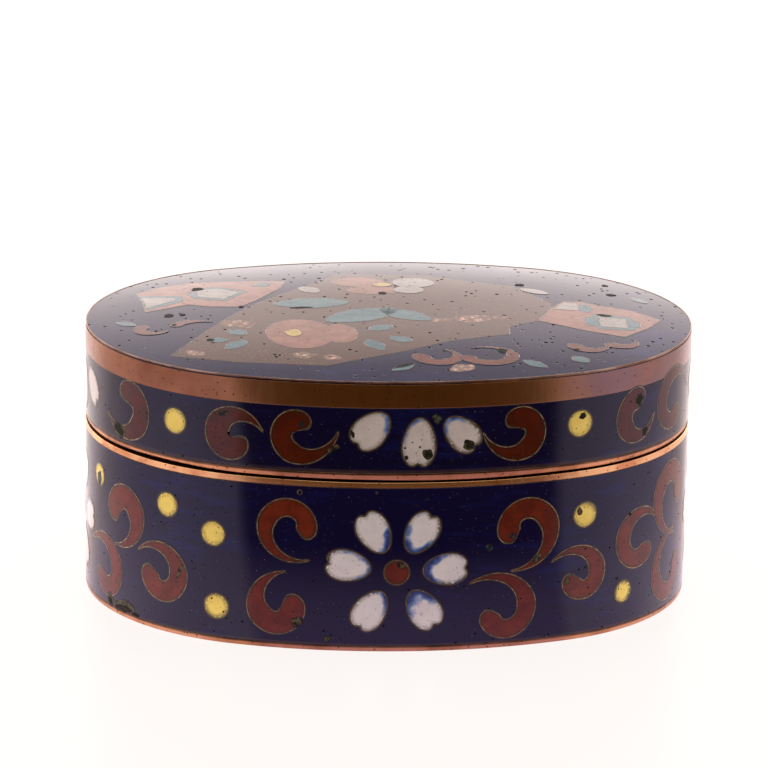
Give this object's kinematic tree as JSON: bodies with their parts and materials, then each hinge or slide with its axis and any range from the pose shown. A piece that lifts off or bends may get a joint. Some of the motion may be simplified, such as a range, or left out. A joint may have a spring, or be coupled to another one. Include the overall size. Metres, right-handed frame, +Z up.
{
  "type": "oval cloisonne enamel box",
  "caption": "Small oval copper box with blue cloisonne enamel fields, plain copper rims and shoulder band, and a lid that lifts off.",
  "frame": {"origin": "middle of the oval at the plane of the foot rim's underside", "axes": "+X along the box's length, -Y towards its decorated front, +Z up through the lid"},
  "size_m": [0.076, 0.057, 0.0349],
  "materials": {
    "copper": "brushed copper with a brown patina",
    "side_enamel": "gloss dark blue enamel with red, white and yellow motifs in brass wire, finely pitted",
    "top_enamel": "gloss dark blue enamel with pink, turquoise, white and grey-gold motifs, finely pitted",
    "counter_enamel": "plain gloss blue counter-enamel"
  },
  "bodies": {
    "root": {"body_shell": "copper", "body_enamel": "side_enamel", "body_collar": "copper", "body_lining": "counter_enamel", "base_enamel": "counter_enamel", "lid_shell": "copper", "lid_side_enamel": "side_enamel", "lid_top_enamel": "top_enamel", "lid_lining": "counter_enamel"}
  },
  "joints": []
}
